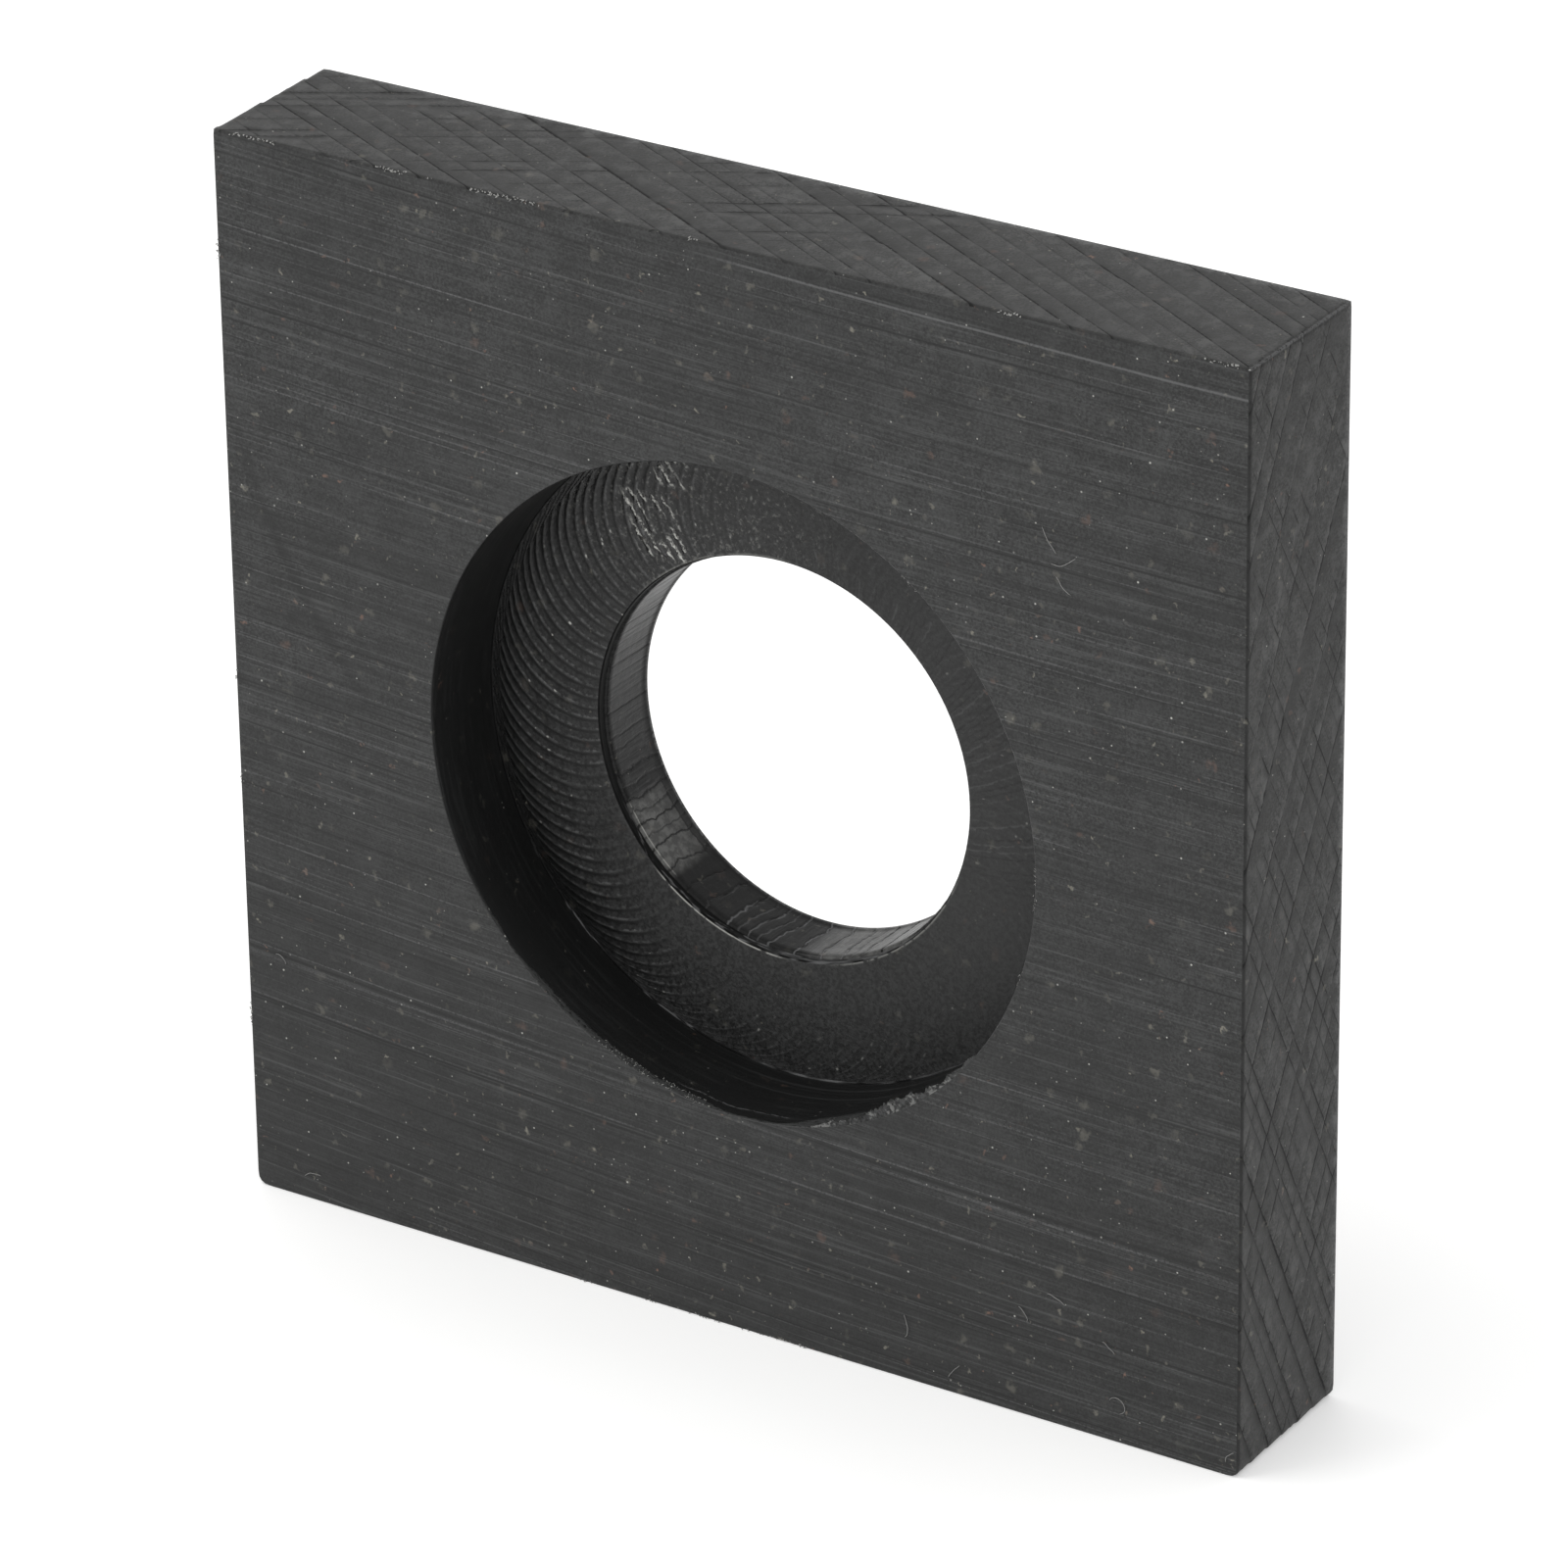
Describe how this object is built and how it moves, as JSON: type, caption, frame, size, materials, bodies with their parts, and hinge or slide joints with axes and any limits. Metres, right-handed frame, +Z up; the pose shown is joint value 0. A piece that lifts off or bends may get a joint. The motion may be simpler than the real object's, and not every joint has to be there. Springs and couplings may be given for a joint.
{
  "type": "counterbored square slab",
  "caption": "Thick square slab of machined black rubber with a wide round counterbore in its front face and a through bore.",
  "frame": {"origin": "middle of the lower edge face, which the slab stands on", "axes": "+X across the face, +Y from the counterbored front to the plain back, +Z up"},
  "size_m": [0.0762, 0.0124, 0.0764],
  "materials": {
    "slab": "machined and sanded black rubber, satin"
  },
  "bodies": {
    "root": {"slab": "slab"}
  },
  "joints": []
}
